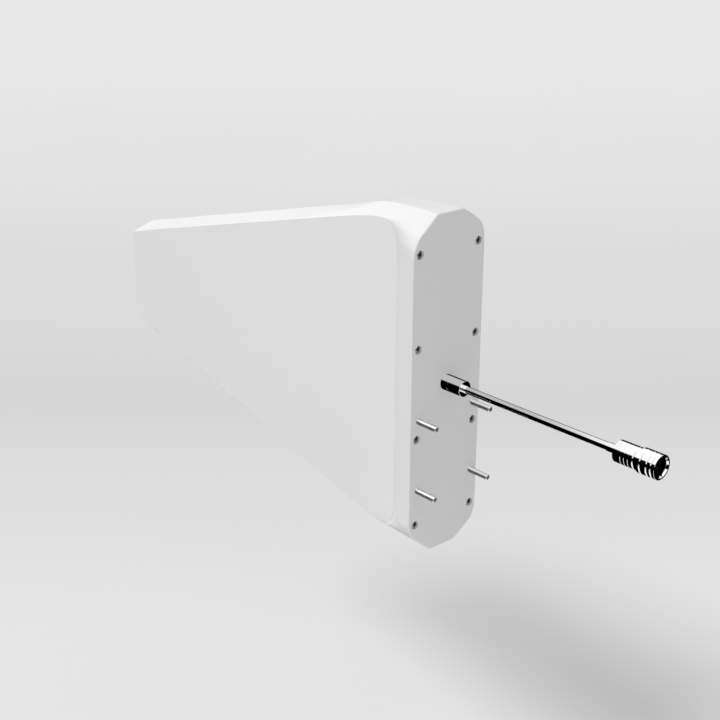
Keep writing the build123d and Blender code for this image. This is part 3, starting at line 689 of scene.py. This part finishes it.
# Cover screws
screws = lathe("screw_skin", SCREWS, SCREW_DOME + [
    (RECESS_DEPTH, SCREW_HEAD_RADIUS), (RECESS_DEPTH, SCREW_RADIUS), (SCREW_TAPER_Y, SCREW_RADIUS),
    (SCREW_TIP_Y, SCREW_TIP_RADIUS), (SCREW_TIP_Y, 0)], 32)
piece(screws, "cover_screws", screw_steel, 40)

# Mounting studs
studs = lathe("stud_skin", STUDS, [
    (PLATE_THICKNESS, 0), (PLATE_THICKNESS, STUD_HEAD_RADIUS), (stud_head_y, STUD_HEAD_RADIUS),
    (stud_head_y, SHANK_RADIUS), (SHANK_COVER, SHANK_RADIUS), (SHANK_COVER, STUD_RADIUS),
    (STUD_TIP_CHAMFER - STUD_LENGTH, STUD_RADIUS), (-STUD_LENGTH, STUD_RADIUS - STUD_TIP_CHAMFER),
    (-STUD_LENGTH, 0)], 40)
piece(studs, "mounting_studs", stud_steel)

# Feed line
line = lathe("line_skin", AXIS, [
    (LINE_FRONT_Y, LINE_RADIUS), (LEAD_START_Y, LINE_RADIUS), (LEAD_START_Y, LEAD_RADIUS),
    (LEAD_END_Y, LEAD_RADIUS), (LEAD_END_Y, LINE_RADIUS), (JOINT_Y, LINE_RADIUS),
    (JOINT_Y, LINE_BORE_RADIUS), (LINE_FRONT_Y, LINE_BORE_RADIUS)], 64)
piece(line, "feed_line_outer", chrome)

# Gland
body = lathe("gland_body_skin", AXIS, [
    (GLAND_STEM_END_Y, LINE_RADIUS + FIT), (GLAND_STEM_END_Y, GLAND_STEM_RADIUS),
    (GLAND_SEAT_DEPTH, GLAND_STEM_RADIUS), (GLAND_SEAT_DEPTH, GLAND_RADIUS), (GLAND_BODY_Y, GLAND_RADIUS),
    (GLAND_BODY_Y, LINE_RADIUS + FIT)], 96)
piece(body, "gland_body", chrome)
nut = lathe("gland_nut_skin", AXIS, [
    (GLAND_BODY_Y, GLAND_SLEEVE_RADIUS), (GLAND_BODY_Y, GLAND_NUT_RADIUS),
    (GLAND_NUT_Y + BEVEL, GLAND_NUT_RADIUS), (GLAND_NUT_Y, GLAND_NUT_RADIUS - GLAND_NUT_BEVEL),
    (GLAND_NUT_Y, LEAD_RADIUS + FIT), (GLAND_NUT_SEAT_Y, LEAD_RADIUS + FIT),
    (GLAND_NUT_SEAT_Y, GLAND_SLEEVE_RADIUS)], 96)
piece(nut, "gland_nut", chrome)


def notched(start, end, radius, notches, depth):
    """Outer profile from start to end, with a V cut at each notch: sloped first, then a steep wall."""
    points = [(start, radius)]
    for edge in notches:
        points += [(edge + NOTCH_SLOPE * depth, radius), (edge + NOTCH_WALL, radius - depth), (edge, radius)]
    return points + [(end, radius)]


# Connector
rear_nut = lathe("rear_nut_skin", AXIS, [
    (NUT_BACK_Y, FERRULE_SEAT_RADIUS), (NUT_BACK_Y, NUT_RADIUS - BEVEL),
    *notched(NUT_BACK_Y - BEVEL, NUT_STEP_Y, NUT_RADIUS, NUT_LINES, NUT_LINE_DEPTH),
    *notched(NUT_STEP_Y - BEVEL, JOINT_Y + BEVEL, NUT_RADIUS, NUT_NOTCHES, NOTCH_DEPTH),
    (JOINT_Y, NUT_RADIUS - BEVEL), (JOINT_Y, LINE_RADIUS + FIT),
    (FERRULE_SEAT_Y, LINE_RADIUS + FIT), (FERRULE_SEAT_Y, FERRULE_SEAT_RADIUS)], 128)
piece(rear_nut, "connector_rear_nut", chrome)
ring_front_y = BORE_FLOOR_Y + BORE_RING_THICKNESS
sleeve = lathe("sleeve_skin", AXIS, [
    (JOINT_Y, SLEEVE_WAIST_RADIUS), (JOINT_Y, SLEEVE_RADIUS),
    *notched(JOINT_Y - BEVEL, SLEEVE_FRONT_Y + BEVEL, SLEEVE_RADIUS, SLEEVE_NOTCHES,
             NOTCH_DEPTH),
    *SLEEVE_LIP, (BORE_FLOOR_Y, BORE_RADIUS), (BORE_FLOOR_Y, BORE_RING_RADIUS),
    (ring_front_y, BORE_RING_RADIUS), (ring_front_y, SLEEVE_WAIST_RADIUS)], 128)
piece(sleeve, "connector_sleeve", chrome_with_bore_shade)

# Floor, with its tone at places along the photograph's view from under the antenna, as shares of FLOOR_REACH
FLOOR_Z = -300.0
FLOOR_HALF_SIZE = 14000.0
FLOOR_REACH = 4000.0
VIEW_WAY = (0.664, 0.7476, 0.0)
# Painted shade: the floor's tone dips to a darker band across the view and rises again past it
PAINTED_SHADE_TONES = [(0.049, 0.78), (0.135, 0.722), (0.196, 0.66), (0.308, 0.708), (0.561, 0.76), (0.902, 0.79)]
GRAIN_SCALE = 3.0
GRAIN = 0.01


def floor_with_painted_shade():
    """Matt floor with a painted pool of shade: a band of slightly darker tone."""
    made = bpy.data.materials.new("floor")
    made.use_nodes = True
    tree = made.node_tree
    tree.nodes.remove(tree.nodes["Principled BSDF"])
    diffuse = new_node(tree, "BsdfDiffuse")
    tree.links.new(diffuse.outputs["BSDF"], tree.nodes["Material Output"].inputs["Surface"])
    place = new_node(tree, "TexCoord").outputs["Object"]
    along = new_node(tree, "VectorMath", operation="DOT_PRODUCT")
    along.inputs[1].default_value = VIEW_WAY
    tree.links.new(place, along.inputs[0])
    ramp = new_node(tree, "ValToRGB")
    ramp.color_ramp.interpolation = "EASE"
    stops = ramp.color_ramp.elements
    for index, (position, tone) in enumerate(PAINTED_SHADE_TONES):
        stop = stops[index] if index < 2 else stops.new(position)
        stop.position = position
        stop.color = (tone, tone, tone, 1)
    tree.links.new(ranged(tree, along.outputs["Value"], 0.0, FLOOR_REACH * MM), ramp.inputs["Fac"])
    grain = ranged(tree, noise(tree, place, GRAIN_SCALE, 2), 0, 1, 1 - GRAIN, 1 + GRAIN)
    shaded = new_node(tree, "VectorMath", operation="SCALE")
    tree.links.new(ramp.outputs["Color"], shaded.inputs[0])
    tree.links.new(grain, shaded.inputs["Scale"])
    tree.links.new(shaded.outputs["Vector"], diffuse.inputs["Color"])
    return made


floor_mesh = bmesh.new()
bmesh.ops.create_grid(floor_mesh, x_segments=8, y_segments=8, size=FLOOR_HALF_SIZE * MM)
floor = as_object("floor", floor_mesh)
floor.location = (0, 0, FLOOR_Z * MM)
floor.visible_glossy = False
floor.data.materials.append(floor_with_painted_shade())

# Sky: strengths, where 1 is white, and the places where a light fades in, from its dark to its bright end,
# along the direction's X, Y or Z. The first two light the object.
DOME = 0.479
DOME_Z = (-0.02, 0.12)
ZENITH = 0.4
ZENITH_Z = (0.6, 0.9)
# What shiny surfaces see: a bright upper room that is greyer ahead, a bright wall behind, a strip ahead and
# a card low at the back. The card stays out of the way that the connector's bore shows by a double bounce.
HIGH = 1.1
GREY = 0.55
ROOM_Z = (0.36, 0.50)
ROOM_Y = (0.60, 0.515)
WALL_Y = (-0.60, -0.70)
WALL_Z = (0.0, 0.1)
STRIP = 1.1
STRIP_Z = (0.08, 0.2)
STRIP_Y = (0.72, 0.84)
CARD = 1.1
CARD_X = (0.5, 0.4)
CARD_Y = (0.46, 0.40)
CARD_Z = (-0.30, -0.42)
BORE_WAY = (-0.745, -0.517, -0.42)
BORE_FADE = (0.975, 0.945)
BACKDROP = 0.8


def studio_world():
    """World whose light, reflections and plain backdrop are set apart by the kind of ray."""
    made = bpy.data.worlds.new("studio")
    made.use_nodes = True
    tree = made.node_tree
    direction = new_node(tree, "TexCoord").outputs["Generated"]
    parts = new_node(tree, "SeparateXYZ")
    tree.links.new(direction, parts.inputs["Vector"])

    def band(value, ends):
        """0 before the first end, 1 past the second and smooth between. The first may be the larger one."""
        dark, bright = ends
        return ranged(tree, value, min(ends), max(ends), float(dark > bright), float(dark < bright),
                      "SMOOTHSTEP")

    x, y, z = (parts.outputs[name] for name in "XYZ")
    dome = maths(tree, "ADD", product(tree, band(z, DOME_Z), DOME), product(tree, band(z, ZENITH_Z), ZENITH))
    upper = maths(tree, "ADD", product(tree, band(y, ROOM_Y), HIGH - GREY), GREY)
    room = product(tree, band(z, ROOM_Z), upper)
    behind = product(tree, band(y, WALL_Y), band(z, WALL_Z), HIGH)
    strip = product(tree, band(z, STRIP_Z), band(y, STRIP_Y), STRIP)
    to_bore = new_node(tree, "VectorMath", operation="DOT_PRODUCT")
    to_bore.inputs[1].default_value = BORE_WAY
    tree.links.new(direction, to_bore.inputs[0])
    away = band(to_bore.outputs["Value"], BORE_FADE)
    card = product(tree, band(z, CARD_Z), band(x, CARD_X), band(y, CARD_Y), away, CARD)
    seen = maths(tree, "ADD", maths(tree, "ADD", maths(tree, "MAXIMUM", room, behind), strip), card)

    path = new_node(tree, "LightPath")
    lit = new_node(tree, "Mix")
    tree.links.new(path.outputs["Is Glossy Ray"], lit.inputs["Factor"])
    tree.links.new(dome, lit.inputs["A"])
    tree.links.new(seen, lit.inputs["B"])
    shown = new_node(tree, "Mix")
    tree.links.new(path.outputs["Is Camera Ray"], shown.inputs["Factor"])
    tree.links.new(lit.outputs["Result"], shown.inputs["A"])
    shown.inputs["B"].default_value = BACKDROP
    sky = tree.nodes["Background"]
    sky.inputs["Color"].default_value = (1, 1, 1, 1)
    tree.links.new(shown.outputs["Result"], sky.inputs["Strength"])
    return made


bpy.context.scene.world = studio_world()

# Key light
KEY_WAY = Vector((-0.541, 0.264, 0.799))
KEY_STRENGTH = 1.43
KEY_SPREAD = 22
sun = bpy.data.objects.new("key", bpy.data.lights.new("key", "SUN"))
bpy.context.scene.collection.objects.link(sun)
sun.data.energy = KEY_STRENGTH
sun.data.angle = math.radians(KEY_SPREAD)
sun.rotation_mode = "QUATERNION"
sun.rotation_quaternion = KEY_WAY.to_track_quat("Z", "Y")
sun.location = KEY_WAY * 2

# Camera, placed and turned as the photograph's
CAMERA_PLACE = Vector((-588.0, -573.55, 380.3))
CAMERA_BACK = (-0.6195, -0.6973, 0.3605)
CAMERA_RIGHT = (0.7476, -0.6642, 0.0)
CAMERA_ROLL = 0.17
CAMERA_LENS = 65.08
CAMERA_SENSOR = 36.0
back = Vector(CAMERA_BACK).normalized()
right = Vector(CAMERA_RIGHT).normalized()
up = back.cross(right)
roll = math.radians(CAMERA_ROLL)
right, up = right * math.cos(roll) + up * math.sin(roll), up * math.cos(roll) - right * math.sin(roll)
camera = bpy.data.objects.new("camera", bpy.data.cameras.new("camera"))
bpy.context.scene.collection.objects.link(camera)
camera.data.lens = CAMERA_LENS
camera.data.sensor_width = CAMERA_SENSOR
camera.matrix_world = Matrix.Translation(CAMERA_PLACE * MM) @ Matrix((right, up, back)).transposed().to_4x4()
bpy.context.scene.camera = camera
bpy.context.scene.view_settings.view_transform = "Standard"
